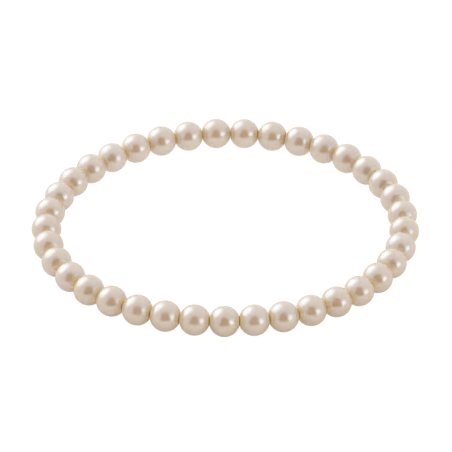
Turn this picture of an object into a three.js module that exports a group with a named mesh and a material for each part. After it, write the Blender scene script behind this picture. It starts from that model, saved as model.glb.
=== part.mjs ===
import * as THREE from 'three';

// A bracelet of near-round pearls, drilled through and threaded on one closed loop of elastic cord.
// It lies flat, as it rests by itself. Millimetres, +Z up; the origin is under the middle of the loop,
// on the surface that every pearl touches.

const PEARL_COUNT = 37;
const PEARL_DIAMETER = 5.5;
const PEARL_LENGTH = 5.247;     // along the drill hole, between the two flattened poles
const PEARL_GAP = 0.06;         // between neighbours, on the cord's centre line
const POLE_SLOPE = 0.09;        // how fast a pole falls away from its hole, so that neighbours can turn
const DRILL_DIAMETER = 1.0;
const CORD_DIAMETER = 0.5;

// A pearl is never quite its neighbour's size: its share of the diameter, either way.
const DIAMETER_SPREAD = 0.008;
const LENGTH_SPREAD = 0.004;
const GOLDEN_STEP = 0.618034;   // spreads the sizes evenly along the string

const PEARL_SIDES = 12;         // round the drill hole, with one flat side facing straight down
const PEARL_BANDS = 7;          // flat bands from pole to pole
const BAND_STEP = THREE.MathUtils.degToRad(22.5);
const CORD_STEPS = 60;
const CORD_SIDES = 8;

const FRONT_JOINT = THREE.MathUtils.degToRad(-95.7);    // where the first pearl starts, seen from above

// The loop is a circle that has relaxed into a rounder-cornered oval. Each wave swells it by `rise`
// (mm) on `lobes` evenly spaced sides, the first of them towards `towards` (degrees from +X).
const LOOP_WAVES = [
  { lobes: 2, rise: 1.64, towards: 4 },
  { lobes: 3, rise: 0.26, towards: 81 },
  { lobes: 4, rise: 0.10, towards: 5 },
];

// The string is matched by eye, so sizes drift slowly round it: `rise` is a share of the size, and
// `towards` is in degrees round the string from the first pearl.
const DIAMETER_WAVES = [{ lobes: 2, rise: 0.011, towards: -5 }];
const LENGTH_WAVES = [
  { lobes: 1, rise: 0.011, towards: 225 },
  { lobes: 2, rise: 0.009, towards: -5 },
];

const NACRE_COLOURS = ['#dccdbd', '#d8c8ba', '#dacabb'];
const CORD_COLOUR = '#ece7df';

function waveSum(waves, angle) {
  return waves.reduce((sum, wave) => {
    const from = THREE.MathUtils.degToRad(wave.towards);
    return sum + wave.rise * Math.cos(wave.lobes * (angle - from));
  }, 0);
}

// A repeatable value from -1 to 1 for the pearl at this place on the string.
function unevenness(index, step) {
  return 2 * ((index * step) % 1) - 1;
}

function pearlSize(index) {
  const along = (2 * Math.PI * index) / PEARL_COUNT;
  const uneven = unevenness(index, GOLDEN_STEP);
  const unevenLength = unevenness(index, GOLDEN_STEP ** 2);
  return {
    diameter: PEARL_DIAMETER * (1 + waveSum(DIAMETER_WAVES, along) + DIAMETER_SPREAD * uneven),
    length: PEARL_LENGTH * (1 + waveSum(LENGTH_WAVES, along) + LENGTH_SPREAD * unevenLength),
  };
}

// Halves the range until it holds the value where tooLow turns false.
function bisect(low, high, tooLow) {
  let from = low;
  let to = high;
  for (let step = 0; step < 50; step += 1) {
    const middle = (from + to) / 2;
    if (tooLow(middle)) {
      from = middle;
    } else {
      to = middle;
    }
  }
  return (from + to) / 2;
}

function loopPoint(radius, angle) {
  const reach = radius + waveSum(LOOP_WAVES, angle);
  return new THREE.Vector3(reach * Math.cos(angle), reach * Math.sin(angle), 0);
}

// The angles of the joints between pearls, each a pearl's length further round a loop of this radius.
function jointAngles(sizes, radius) {
  const angles = [FRONT_JOINT];
  for (const size of sizes) {
    const last = angles[angles.length - 1];
    const from = loopPoint(radius, last);
    const pitch = size.length + PEARL_GAP;
    const turn = bisect(0, 1, (step) => loopPoint(radius, last + step).distanceTo(from) < pitch);
    angles.push(last + turn);
  }
  return angles;
}

// The loop is as long as its pearls: its radius is the one at which the last pearl meets the first.
function loopJoints(sizes) {
  const fullTurn = FRONT_JOINT + 2 * Math.PI;
  const roughRadius = (PEARL_COUNT * PEARL_LENGTH) / (2 * Math.PI);
  const radius = bisect(0.8 * roughRadius, 1.2 * roughRadius, (tried) => {
    const angles = jointAngles(sizes, tried);
    return angles[angles.length - 1] > fullTurn;
  });
  return jointAngles(sizes, radius).slice(0, PEARL_COUNT).map((angle) => loopPoint(radius, angle));
}

// Where two lines cross, each given by its distance from the centre and the direction it faces.
function crossing(a, b) {
  const spread = Math.sin(b.facing - a.facing);
  const across = (a.distance * Math.sin(b.facing) - b.distance * Math.sin(a.facing)) / spread;
  const along = (b.distance * Math.cos(a.facing) - a.distance * Math.cos(b.facing)) / spread;
  return new THREE.Vector2(across, along);
}

// A drilled pearl about its hole, which runs along Y. The bands touch a round pearl of the same
// diameter from outside, and the poles are worn into flat cones round the hole.
function pearlGeometry(size) {
  const poleFacing = Math.atan(1 / POLE_SLOPE);
  const poleDistance = (size.length / 2) * Math.sin(poleFacing);
  const lines = [{ facing: -poleFacing, distance: poleDistance }];
  for (let band = 0; band < PEARL_BANDS; band += 1) {
    const facing = (band - (PEARL_BANDS - 1) / 2) * BAND_STEP;
    lines.push({ facing, distance: size.diameter / 2 });
  }
  lines.push({ facing: poleFacing, distance: poleDistance });

  const drill = DRILL_DIAMETER / 2;
  const drillEnd = size.length / 2 - POLE_SLOPE * drill;
  const profile = [new THREE.Vector2(drill, -drillEnd)];
  for (let line = 1; line < lines.length; line += 1) {
    profile.push(crossing(lines[line - 1], lines[line]));
  }
  profile.push(new THREE.Vector2(drill, drillEnd), new THREE.Vector2(drill, -drillEnd));

  // The sides are flat, so their corners stand further out than the round pearl.
  const cornerReach = 1 / Math.cos(Math.PI / PEARL_SIDES);
  profile.forEach((point) => point.setX(point.x * cornerReach));
  return new THREE.LatheGeometry(profile, PEARL_SIDES, -Math.PI / PEARL_SIDES, 2 * Math.PI);
}

function pearl(index, size, start, end) {
  const nacre = new THREE.MeshStandardMaterial({
    color: NACRE_COLOURS[index % NACRE_COLOURS.length],
    roughness: 0.3,
    metalness: 0,
  });
  const mesh = new THREE.Mesh(pearlGeometry(size), nacre);
  mesh.name = `pearl_${String(index + 1).padStart(2, '0')}`;
  mesh.position.copy(start).add(end).multiplyScalar(0.5).setZ(size.diameter / 2);
  mesh.rotation.z = Math.atan2(end.y - start.y, end.x - start.x) - Math.PI / 2;
  return mesh;
}

// The cord runs through every drill hole at the height of the pearls' centres.
function elasticCord(pearls, joints) {
  const route = [];
  pearls.forEach((mesh, index) => {
    const before = pearls[(index + PEARL_COUNT - 1) % PEARL_COUNT];
    const height = (before.position.z + mesh.position.z) / 2;
    route.push(joints[index].clone().setZ(height), mesh.position.clone());
  });
  const path = new THREE.CatmullRomCurve3(route, true, 'centripetal');
  const rubber = new THREE.MeshStandardMaterial({ color: CORD_COLOUR, roughness: 0.5, metalness: 0 });
  const geometry = new THREE.TubeGeometry(path, CORD_STEPS, CORD_DIAMETER / 2, CORD_SIDES, true);
  const mesh = new THREE.Mesh(geometry, rubber);
  mesh.name = 'elastic_cord';
  return mesh;
}

function bracelet() {
  const sizes = Array.from({ length: PEARL_COUNT }, (_, index) => pearlSize(index));
  const joints = loopJoints(sizes);
  const pearls = sizes.map((size, index) => {
    const end = joints[(index + 1) % PEARL_COUNT];
    return pearl(index, size, joints[index], end);
  });
  const group = new THREE.Group();
  group.add(...pearls, elasticCord(pearls, joints));

  const middle = new THREE.Box3().setFromObject(group, true).getCenter(new THREE.Vector3());
  group.position.set(-middle.x, -middle.y, 0);
  group.updateMatrixWorld(true);
  return group;
}

export default bracelet();
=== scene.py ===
import math
import random

import bpy
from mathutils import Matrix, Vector


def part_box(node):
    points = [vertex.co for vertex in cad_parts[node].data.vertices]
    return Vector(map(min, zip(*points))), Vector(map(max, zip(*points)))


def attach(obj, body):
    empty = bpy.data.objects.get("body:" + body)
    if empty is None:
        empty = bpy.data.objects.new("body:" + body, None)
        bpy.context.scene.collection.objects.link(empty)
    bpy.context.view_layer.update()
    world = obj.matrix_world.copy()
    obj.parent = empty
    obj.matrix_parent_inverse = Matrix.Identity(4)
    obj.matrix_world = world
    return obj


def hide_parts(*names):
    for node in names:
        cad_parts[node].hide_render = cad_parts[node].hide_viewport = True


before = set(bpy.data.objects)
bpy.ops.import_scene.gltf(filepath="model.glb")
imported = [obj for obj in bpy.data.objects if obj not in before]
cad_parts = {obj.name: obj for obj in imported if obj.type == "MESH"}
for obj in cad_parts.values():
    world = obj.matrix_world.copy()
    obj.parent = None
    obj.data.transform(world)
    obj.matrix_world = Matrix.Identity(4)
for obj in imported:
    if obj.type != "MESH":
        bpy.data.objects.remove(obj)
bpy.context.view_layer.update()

# A single strand of near-round pearls on a closed loop of elastic, lying flat on a pale table.
# Lengths are in metres, in the frame's own axes: +Z up, the loop centred on the origin.

MM = 0.001

# The pearls and their elastic, in real sizes.
DRILL = 0.9 * MM                # the drill's own width
DRILL_MOUTH = 1.1 * MM          # where the nacre is worn back round the hole
SHOULDER = 0.05 * MM            # how softly the round body turns into the pole that its neighbour flattens
SEAM = 0.02 * MM                # left between neighbours
UNEVENNESS = 0.004              # how far a pearl strays from round, as a share of its radius
UNEVEN_SIZE = 3.0 * MM          # the width of one such swelling
UNEVEN_UP_TO = 0.9              # the latitude, in radians, up to which the swelling is at its full size
EVEN_FROM = 1.3                 # the latitude from which the pearl is even again
MOUTH_SHARPNESS = 10.0          # a high power keeps the hole straight until it is close to its mouth
ELASTIC_WIDTH = 0.5 * MM

# Marks along a pearl, from 0 to 1 on the measure called poleward.
POLEWARD_START = 0.45           # where that measure starts, as a share of the way from equator to middle
POLE_START = 0.6                # where the polish ends and the dull, painted-glow gold round the hole starts
RAGGED_DEPTH = 0.05             # how far that edge strays
RAGGED_SIZE = 0.5 * MM

# Patterns, in real sizes, and how far light wanders in each material.
CLOUD_SIZE = 2.5 * MM
GROWTH_LINE = 0.15 * MM
INNER_GRAIN_SIZE = 0.3 * MM
STREAK_SIZE = 0.4 * MM
NOISE_LOW, NOISE_HIGH = 0.3, 0.7    # nearly all of a noise lies between these
NACRE_DEPTH = {"Subsurface Weight": 1.0, "Subsurface Scale": 2.5 * MM, "Subsurface Radius": (1.0, 0.8, 0.5)}
ELASTIC_DEPTH = {"Subsurface Weight": 0.4, "Subsurface Scale": 0.4 * MM}

# Mesh steps.
AROUND_STEPS = 80
ALONG_STEPS = 64
OUTSIDE_SHARE = 0.86            # the share of the steps from pole to pole that lie outside the hole
MERGE_DISTANCE = 0.0002 * MM
ELASTIC_SIDES = 12
ELASTIC_STEPS_PER_POINT = 4

# The tent and the table. A lamp's spread is in degrees, from the middle of its glow on the cloth.
TENT_LIGHT = 0.937
BACK_WALL_GAIN = 1.3
KEY_LAMP = {"towards": Vector((-0.64, 0.534, 0.552)), "spread": 42.0, "strength": 1.666}
SIDE_LAMP = {"towards": Vector((0.801, -0.548, 0.24)), "spread": 24.0, "strength": 1.822}
OPENING_DISTANCE = 0.7          # from the bracelet to the tent's open front
OPENING_WIDTH = 1.0
OPENING_TOP = 1.5
TABLE_SIDE = 4.0
TABLE_LIGHT = 1.04
TABLE_FRONT_GLOW = 0.1          # the share of the table's light that comes through it, in front
TABLE_BACK_GLOW = 0.6           # the same, behind the bracelet
TABLE_SEEN_GLOW = 0.95          # the same, where the camera sees it
TABLE_REACH = 35 * MM           # how far in front and behind those two shares hold

CAMERA_ELEVATION = 35.7
CAMERA_DISTANCE = 0.628
CAMERA_LENS = 272.7
LOOK_AT = Vector((0.12 * MM, -0.66 * MM, 2.75 * MM))


def linear(hex_colour):
    """An sRGB hex colour as the linear colour, with alpha, that a socket takes."""
    channels = [int(hex_colour[i:i + 2], 16) / 255 for i in (1, 3, 5)]
    return (*[c / 12.92 if c <= 0.04045 else ((c + 0.055) / 1.055) ** 2.4 for c in channels], 1.0)


def add(tree, kind, *values, **settings):
    """Adds a node. Values go to its inputs in order, or by name or place from a dict.

    A node given as a value stands for its first enabled output.
    """
    node = tree.nodes.new(kind)
    for name, setting in settings.items():
        setattr(node, name, setting)
    named = values[0] if values and isinstance(values[0], dict) else dict(enumerate(values))
    for place, value in named.items():
        if isinstance(value, bpy.types.Node):
            value = next(output for output in value.outputs if output.enabled)
        if isinstance(value, bpy.types.NodeSocket):
            tree.links.new(value, node.inputs[place])
        elif value is not None:
            node.inputs[place].default_value = value
    return node


def new_tree(name, sizes):
    """A Geometry Nodes tree that takes a geometry and the named sizes, and its input sockets."""
    tree = bpy.data.node_groups.new(name, "GeometryNodeTree")
    tree.interface.new_socket("Geometry", in_out="INPUT", socket_type="NodeSocketGeometry")
    for label, kind in sizes.items():
        tree.interface.new_socket(label, in_out="INPUT", socket_type="NodeSocket" + kind)
    tree.interface.new_socket("Geometry", in_out="OUTPUT", socket_type="NodeSocketGeometry")
    return tree, add(tree, "NodeGroupInput").outputs


def end_tree(tree, geometry, material, patch=None, patch_material=None):
    """Every tree ends the same way: real geometry, its material, and a second one on a patch of it."""
    real = add(tree, "GeometryNodeRealizeInstances", geometry)
    finished = add(tree, "GeometryNodeSetMaterial", {"Geometry": real, "Material": material})
    if patch:
        finished = add(tree, "GeometryNodeSetMaterial",
                       {"Geometry": finished, "Selection": patch, "Material": patch_material})
    add(tree, "NodeGroupOutput", finished)


def grown(name, tree, sizes, base=None):
    """The mesh that a tree makes with these sizes, as a plain object with no modifier."""
    source = bpy.data.objects.new(name + "_source", base or bpy.data.meshes.new(name + "_source"))
    bpy.context.scene.collection.objects.link(source)
    modifier = source.modifiers.new(name, "NODES")
    modifier.node_group = tree
    for socket in tree.interface.items_tree:
        if socket.in_out == "INPUT" and socket.name in sizes:
            modifier[socket.identifier] = sizes[socket.name]
    evaluated = source.evaluated_get(bpy.context.evaluated_depsgraph_get())
    mesh = bpy.data.meshes.new_from_object(evaluated)
    bpy.data.objects.remove(source)
    piece = bpy.data.objects.new(name, mesh)
    bpy.context.scene.collection.objects.link(piece)
    return piece


def pearl_tree():
    """A drilled pearl, swept round its hole from a formula for half its profile.

    `half` runs from 0 on the equator to 1 in the middle of the hole, and the same profile serves both ends.
    """
    tree, size = new_tree("drilled pearl", {
        "Diameter": "Float", "Length": "Float", "Start lean": "Float", "End lean": "Float", "Seam": "Float",
        "Drill": "Float", "Drill mouth": "Float", "Shoulder": "Float", "Unevenness": "Float",
        "Uneven size": "Float", "Seed": "Float", "Tone": "Float", "Middle": "Vector", "Heading": "Float",
        "Material": "Material", "Painted glow material": "Material"})
    maths, mapped = "ShaderNodeMath", "ShaderNodeMapRange"
    grid = add(tree, "GeometryNodeMeshGrid", 1.0, 1.0, AROUND_STEPS + 1, ALONG_STEPS + 1)
    place = add(tree, "ShaderNodeSeparateXYZ", add(tree, "GeometryNodeInputPosition"))
    turn = add(tree, maths, place.outputs["X"], math.tau, operation="MULTIPLY")
    side = add(tree, maths, place.outputs["Y"], operation="SIGN")
    half_share = add(tree, maths, place.outputs["Y"], operation="ABSOLUTE")
    half = add(tree, maths, half_share, 2.0, operation="MULTIPLY")

    # The outside: a round body, flattened at each end by the plane halfway to its neighbour. The string
    # bends from pearl to pearl, so each of these planes leans towards the inside of the loop.
    radius = add(tree, maths, size["Diameter"], 0.5, operation="MULTIPLY")
    mouth = add(tree, maths, size["Drill mouth"], 0.5, operation="MULTIPLY")
    forward = add(tree, maths, side, 0.0, operation="GREATER_THAN")
    lean = add(tree, "ShaderNodeMix", {0: forward, 2: size["Start lean"], 3: size["End lean"]})
    lean_cosine = add(tree, maths, lean, operation="COSINE")
    lean_sine = add(tree, maths, lean, operation="SINE")
    half_length = add(tree, maths, size["Length"], 0.5, operation="MULTIPLY")
    half_seam = add(tree, maths, size["Seam"], 0.5, operation="MULTIPLY")
    reach = add(tree, maths, add(tree, maths, half_length, lean_cosine, operation="MULTIPLY"), half_seam,
                operation="SUBTRACT")
    mouth_angle = add(tree, maths, reach, mouth, operation="ARCTAN2")
    angle = add(tree, mapped, half, 0.0, OUTSIDE_SHARE, 0.0, mouth_angle)
    sine = add(tree, maths, angle, operation="SINE")
    cosine = add(tree, maths, angle, operation="COSINE")
    inward = add(tree, maths, cosine, add(tree, maths, turn, operation="COSINE"), operation="MULTIPLY")
    facing = add(tree, maths, add(tree, maths, sine, lean_cosine, operation="MULTIPLY"),
                 add(tree, maths, inward, lean_sine, operation="MULTIPLY"), operation="ADD")
    held = add(tree, maths, facing, 0.5, operation="MAXIMUM")       # the plane is at most twice as far off
    plane = add(tree, maths, reach, held, operation="DIVIDE")
    round_off = add(tree, maths, radius, plane, size["Shoulder"], operation="SMOOTH_MIN")
    out_across = add(tree, maths, round_off, cosine, operation="MULTIPLY")
    out_along = add(tree, maths, round_off, sine, operation="MULTIPLY")

    # The hole: straight, opening towards its mouth.
    depth = add(tree, mapped, half, OUTSIDE_SHARE, 1.0, 1.0, 0.0)
    drill = add(tree, maths, size["Drill"], 0.5, operation="MULTIPLY")
    flare = add(tree, maths, add(tree, maths, mouth, drill, operation="SUBTRACT"),
                add(tree, maths, depth, MOUTH_SHARPNESS, operation="POWER"), operation="MULTIPLY")
    in_across = add(tree, maths, drill, flare, operation="ADD")
    in_along = add(tree, maths, reach, depth, operation="MULTIPLY")

    inside = add(tree, maths, half, OUTSIDE_SHARE, operation="GREATER_THAN")
    across = add(tree, "ShaderNodeMix", {0: inside, 2: out_across, 3: in_across})
    along = add(tree, "ShaderNodeMix", {0: inside, 2: out_along, 3: in_along})
    shape = add(tree, "ShaderNodeCombineXYZ",
                add(tree, maths, along, side, operation="MULTIPLY"),
                add(tree, maths, across, add(tree, maths, turn, operation="COSINE"), operation="MULTIPLY"),
                add(tree, maths, across, add(tree, maths, turn, operation="SINE"), operation="MULTIPLY"))

    # A slow swelling that makes no two pearls quite the same, fading out at the poles.
    swell_scale = add(tree, maths, 1.0, size["Uneven size"], operation="DIVIDE")
    swell = add(tree, "ShaderNodeTexNoise", {"Vector": shape, "W": size["Seed"], "Scale": swell_scale,
                                             "Detail": 1.0}, noise_dimensions="4D")
    swing = add(tree, maths, size["Unevenness"], 2.0, operation="MULTIPLY")
    waist = add(tree, mapped, {0: angle, 1: UNEVEN_UP_TO, 2: EVEN_FROM, 3: 1.0, 4: 0.0},
                interpolation_type="SMOOTHSTEP")
    share = add(tree, maths, add(tree, maths, swell, 0.5, operation="SUBTRACT"),
                add(tree, maths, swing, waist, operation="MULTIPLY"), operation="MULTIPLY")
    growth = add(tree, maths, share, 1.0, operation="ADD")
    grown_shape = add(tree, "ShaderNodeVectorMath", {0: shape, "Scale": growth}, operation="SCALE")

    # The distance from the equator is marked on the flat grid, before it is swept into a pearl.
    poleward = add(tree, mapped, {0: half, 1: POLEWARD_START, 2: OUTSIDE_SHARE, 3: 0.0, 4: 1.0})
    marked = add(tree, "GeometryNodeStoreNamedAttribute",
                 {"Geometry": grid, "Name": "poleward", "Value": poleward})
    toned = add(tree, "GeometryNodeStoreNamedAttribute",
                {"Geometry": marked, "Name": "tone", "Value": size["Tone"]})
    swept = add(tree, "GeometryNodeSetPosition", {"Geometry": toned, "Position": grown_shape})
    closed = add(tree, "GeometryNodeMergeByDistance", {"Geometry": swept, "Distance": MERGE_DISTANCE})
    turned = add(tree, "ShaderNodeCombineXYZ", 0.0, 0.0, size["Heading"])
    placed = add(tree, "GeometryNodeTransform",
                 {"Geometry": closed, "Translation": size["Middle"], "Rotation": turned})
    smooth = add(tree, "GeometryNodeSetShadeSmooth", placed)

    # The polished nacre ends round each hole in a slightly ragged edge, inside which the pearl gets the
    # painted-glow material.
    ragged = add(tree, "ShaderNodeTexNoise", {"W": size["Seed"], "Scale": 1 / RAGGED_SIZE, "Detail": 1.0},
                 noise_dimensions="4D")
    edge = add(tree, mapped, {0: ragged, 1: NOISE_LOW, 2: NOISE_HIGH, 3: POLE_START - RAGGED_DEPTH,
                              4: POLE_START + RAGGED_DEPTH})
    marks = add(tree, "GeometryNodeInputNamedAttribute", "poleward", data_type="FLOAT")
    # This patch gets the painted-glow material.
    pole = add(tree, maths, marks, edge, operation="GREATER_THAN")
    end_tree(tree, smooth, size["Material"], pole, size["Painted glow material"])
    return tree


def elastic_tree():
    """A round cord along a closed route."""
    tree, size = new_tree("elastic cord", {"Width": "Float", "Steps": "Int", "Material": "Material"})
    route = add(tree, "GeometryNodeMeshToCurve", size["Geometry"])
    smooth_route = add(tree, "GeometryNodeCurveSplineType", route, spline_type="CATMULL_ROM")
    even = add(tree, "GeometryNodeResampleCurve", {"Curve": smooth_route, "Count": size["Steps"]})
    radius = add(tree, "ShaderNodeMath", size["Width"], 0.5, operation="MULTIPLY")
    ring = add(tree, "GeometryNodeCurvePrimitiveCircle", {"Resolution": ELASTIC_SIDES, "Radius": radius})
    cord = add(tree, "GeometryNodeCurveToMesh", {"Curve": even, "Profile Curve": ring})
    end_tree(tree, add(tree, "GeometryNodeSetShadeSmooth", cord), size["Material"])
    return tree


def new_material(name):
    """An empty material, and its tree."""
    material = bpy.data.materials.new(name)
    material.use_nodes = True
    material.node_tree.nodes.clear()
    return material, material.node_tree


def blend(tree, share, first, second):
    """A colour between two others."""
    return add(tree, "ShaderNodeMix", {0: share, 6: first, 7: second}, data_type="RGBA")


def nacre_material():
    """Cultured pearl nacre, grown in layers and polished.

    Stacked layers of aragonite give a soft silvery reflection over a warm cream body that light enters.
    """
    material, tree = new_material("polished pearl nacre")
    where = add(tree, "ShaderNodeTexCoord").outputs["Object"]

    # Thickness of the nacre varies in soft clouds a couple of millimetres wide.
    clouds = add(tree, "ShaderNodeTexNoise", {"Vector": where, "Scale": 1 / CLOUD_SIZE, "Detail": 2.0})
    body = blend(tree, clouds, linear("#e4c29d"), linear("#ecd0ac"))
    tone = add(tree, "ShaderNodeAttribute", attribute_name="tone")
    toned = blend(tree, tone.outputs["Fac"], body, linear("#eaccb0"))

    # Round the drill holes the colour turns a bright gold: painted glow, in place of light through the
    # nacre, that lifts the shade between neighbours.
    pole = add(tree, "ShaderNodeAttribute", attribute_name="poleward")
    painted_glow_share = add(tree, "ShaderNodeMapRange", {0: pole.outputs["Fac"], 1: 0.0, 2: 0.75, 3: 0.0, 4: 0.9},
                 interpolation_type="SMOOTHSTEP")
    # The gold here is painted glow for the gaps between neighbours.
    colour = blend(tree, painted_glow_share, toned, linear("#fdd098"))

    # Growth lines are too fine to show, so they are drawn coarser, as a faint unevenness of the skin.
    lines = add(tree, "ShaderNodeTexNoise", {"Vector": where, "Scale": 1 / GROWTH_LINE, "Detail": 3.0})
    skin = add(tree, "ShaderNodeBump", {"Strength": 0.25, "Distance": 0.002 * MM, "Height": lines})

    # The polish varies a little with the clouds, and the drill leaves the poles dull.
    polish = add(tree, "ShaderNodeMapRange", {0: clouds, 1: NOISE_LOW, 2: NOISE_HIGH, 3: 0.2, 4: 0.26})
    worn = add(tree, "ShaderNodeMix", {0: painted_glow_share, 2: polish, 3: 0.6})
    surface = add(tree, "ShaderNodeBsdfPrincipled", {
        "Base Color": colour, "Roughness": worn, "Normal": skin, "IOR": 2.4, "Specular IOR Level": 1.0,
        "Specular Tint": linear("#d0ecff"), "Coat Weight": 0.3, "Coat Roughness": 0.12, "Coat IOR": 1.55,
        **NACRE_DEPTH})
    add(tree, "ShaderNodeOutputMaterial", surface)
    return material


def pole_glow_material():
    """Painted glow round a drill hole: a bright gold, dull surface in place of light through the nacre, so
    the gap between neighbours glows instead of lying in shade.
    """
    material, tree = new_material("painted pole glow")
    where = add(tree, "ShaderNodeTexCoord").outputs["Object"]
    grain = add(tree, "ShaderNodeTexNoise", {"Vector": where, "Scale": 1 / INNER_GRAIN_SIZE, "Detail": 2.0})
    # The bright gold is painted glow for the gaps between neighbours.
    colour = blend(tree, grain, linear("#fcd6a8"), linear("#ffe0b8"))
    dullness = add(tree, "ShaderNodeMapRange", {0: grain, 3: 0.55, 4: 0.7})
    surface = add(tree, "ShaderNodeBsdfPrincipled", {
        "Base Color": colour, "Roughness": dullness, "IOR": 1.3, **NACRE_DEPTH})
    add(tree, "ShaderNodeOutputMaterial", surface)
    return material


def elastic_material():
    """Extruded polyurethane bead elastic: a milky, slightly glossy thread."""
    material, tree = new_material("extruded bead elastic")
    where = add(tree, "ShaderNodeTexCoord").outputs["Object"]
    streaks = add(tree, "ShaderNodeTexNoise", {"Vector": where, "Scale": 1 / STREAK_SIZE, "Detail": 2.0})
    colour = blend(tree, streaks, linear("#e9e1d4"), linear("#f4efe6"))
    polish = add(tree, "ShaderNodeMapRange", {0: streaks, 3: 0.3, 4: 0.45})
    skin = add(tree, "ShaderNodeBump", {"Strength": 0.3, "Distance": 0.01 * MM, "Height": streaks})
    surface = add(tree, "ShaderNodeBsdfPrincipled", {
        "Base Color": colour, "Roughness": polish, "Normal": skin, **ELASTIC_DEPTH})
    add(tree, "ShaderNodeOutputMaterial", surface)
    return material


def belongs(piece, node):
    """Puts a finished piece in the place of its CAD node."""
    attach(piece, "root")
    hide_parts(node)


def middles_of(nodes):
    """The middle of each pearl, from its CAD box."""
    middles = []
    for node in nodes:
        low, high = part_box(node)
        middles.append((low + high) / 2)
    return middles


def joints_of(middles):
    """The points where neighbours meet.

    Each middle is halfway between its two joints, so an odd count of middles fixes them all.
    """
    joint = sum((middle * (-1) ** i for i, middle in enumerate(middles)), Vector())
    joints = []
    for middle in middles:
        joints.append(joint)
        joint = 2 * middle - joint
    return joints


def string_pearls(nodes):
    """One pearl in the place of each CAD pearl, aimed along the string."""
    tree = pearl_tree()
    nacre = nacre_material()
    pole_glow = pole_glow_material()
    middles = middles_of(nodes)
    joints = joints_of(middles)
    runs = [end - start for start, end in zip(joints, joints[1:] + joints[:1])]
    leans = [runs[i].xy.angle_signed(runs[i - 1].xy) / 2 for i in range(len(runs))]
    chance = random.Random(37)
    for i, node in enumerate(nodes):
        low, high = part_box(node)
        piece = grown("nacre_" + node, tree, {
            "Diameter": high.z - low.z, "Length": runs[i].length, "Start lean": leans[i],
            "End lean": leans[(i + 1) % len(nodes)], "Seam": SEAM, "Drill": DRILL,
            "Drill mouth": DRILL_MOUTH, "Shoulder": SHOULDER, "Unevenness": UNEVENNESS,
            "Uneven size": UNEVEN_SIZE, "Seed": chance.uniform(0, 100), "Tone": chance.random(),
            "Middle": middles[i], "Heading": math.atan2(runs[i].y, runs[i].x), "Material": nacre,
            "Painted glow material": pole_glow})
        belongs(piece, node)
    return joints, middles


def thread_elastic(joints, middles):
    """The elastic, through the middle of every pearl and every joint."""
    route = [point for pair in zip(joints, middles) for point in pair]
    base = bpy.data.meshes.new("elastic_route")
    base.from_pydata(route, [(i, (i + 1) % len(route)) for i in range(len(route))], [])
    steps = ELASTIC_STEPS_PER_POINT * len(route)
    piece = grown("bead_elastic", elastic_tree(),
                  {"Width": ELASTIC_WIDTH, "Steps": steps, "Material": elastic_material()}, base)
    belongs(piece, "elastic_cord")


def sheet(name, width, height, place, facing, material):
    """A flat rectangle that faces along a direction, with its height as upright as it can be."""
    turn = facing.to_track_quat("Z", "Y")
    right, top = width / 2, height / 2
    corners = [(-right, -top), (right, -top), (right, top), (-right, top)]
    mesh = bpy.data.meshes.new(name)
    mesh.from_pydata([place + turn @ Vector((x, y, 0)) for x, y in corners], [], [(0, 1, 2, 3)])
    mesh.materials.append(material)
    piece = bpy.data.objects.new(name, mesh)
    bpy.context.scene.collection.objects.link(piece)
    return piece


def table():
    """A white table, also lit from below. The camera sees it nearly burnt out, the pearls less so."""
    material, tree = new_material("white paper")
    paper = add(tree, "ShaderNodeBsdfDiffuse", linear("#efe6db"))
    burnt_out = add(tree, "ShaderNodeEmission", linear("#ffffff"), TABLE_LIGHT)
    place = add(tree, "ShaderNodeSeparateXYZ", add(tree, "ShaderNodeTexCoord").outputs["Object"])
    through = add(tree, "ShaderNodeMapRange", place.outputs["Y"], -TABLE_REACH, TABLE_REACH,
                  TABLE_FRONT_GLOW, TABLE_BACK_GLOW)
    straight = add(tree, "ShaderNodeLightPath").outputs["Is Camera Ray"]
    share = add(tree, "ShaderNodeMix", {0: straight, 2: through, 3: TABLE_SEEN_GLOW})
    add(tree, "ShaderNodeOutputMaterial", add(tree, "ShaderNodeMixShader", share, paper, burnt_out))
    sheet("table", TABLE_SIDE, TABLE_SIDE, Vector((0, 0, 0)), Vector((0, 0, 1)), material)


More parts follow.
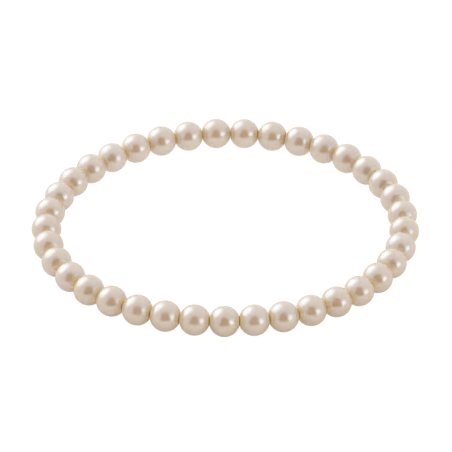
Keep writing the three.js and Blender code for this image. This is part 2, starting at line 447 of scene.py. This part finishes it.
def glow(tree, direction, towards, spread, strength):
    """How brightly a lamp behind the cloth shows in a direction, from its middle out to its spread."""
    nearness = add(tree, "ShaderNodeVectorMath", direction, towards.normalized(),
                   operation="DOT_PRODUCT").outputs["Value"]
    edge = math.cos(math.radians(spread))
    return add(tree, "ShaderNodeMapRange", {0: nearness, 1: edge, 2: 1.0, 3: 0.0, 4: strength},
               interpolation_type="SMOOTHSTEP")


def tent():
    """White cloth all round, lit by two lamps behind it, but for the open front."""
    world = bpy.data.worlds.new("white tent")
    world.use_nodes = True
    tree = world.node_tree
    tree.nodes.clear()
    direction = add(tree, "ShaderNodeTexCoord").outputs["Generated"]
    axes = add(tree, "ShaderNodeSeparateXYZ", direction)

    # The wall behind the bracelet is the brightest.
    wall = add(tree, "ShaderNodeMapRange", axes.outputs["Y"], -0.3, 0.9, TENT_LIGHT,
               TENT_LIGHT * BACK_WALL_GAIN)
    lamps = add(tree, "ShaderNodeMath", glow(tree, direction, **KEY_LAMP),
                glow(tree, direction, **SIDE_LAMP), operation="ADD")
    light = add(tree, "ShaderNodeMath", wall, lamps, operation="ADD")
    cloth = add(tree, "ShaderNodeBackground", linear("#e0e3e6"), light)
    add(tree, "ShaderNodeOutputWorld", cloth)
    bpy.context.scene.world = world

    material, tree = new_material("dim room")
    room = add(tree, "ShaderNodeEmission", linear("#2a2420"), 1.0)
    add(tree, "ShaderNodeOutputMaterial", room)
    middle = Vector((0, -OPENING_DISTANCE, OPENING_TOP / 2))
    front = sheet("open_front", OPENING_WIDTH, OPENING_TOP, middle, Vector((0, 1, 0)), material)
    front.visible_camera = False
    front.visible_diffuse = False
    front.visible_shadow = False


def studio():
    """A white table in a white tent."""
    bpy.context.scene.view_settings.view_transform = "Standard"
    table()
    tent()


def camera():
    """Looks down on the bracelet from in front."""
    slope = math.radians(CAMERA_ELEVATION)
    data = bpy.data.cameras.new("camera")
    data.lens = CAMERA_LENS
    data.clip_start = 0.01
    eye = bpy.data.objects.new("camera", data)
    eye.location = LOOK_AT + CAMERA_DISTANCE * Vector((0, -math.cos(slope), math.sin(slope)))
    eye.rotation_euler = (math.pi / 2 - slope, 0, 0)
    bpy.context.scene.collection.objects.link(eye)
    bpy.context.scene.camera = eye


camera()
studio()
pearl_nodes = sorted(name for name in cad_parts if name.startswith("pearl_"))
thread_elastic(*string_pearls(pearl_nodes))
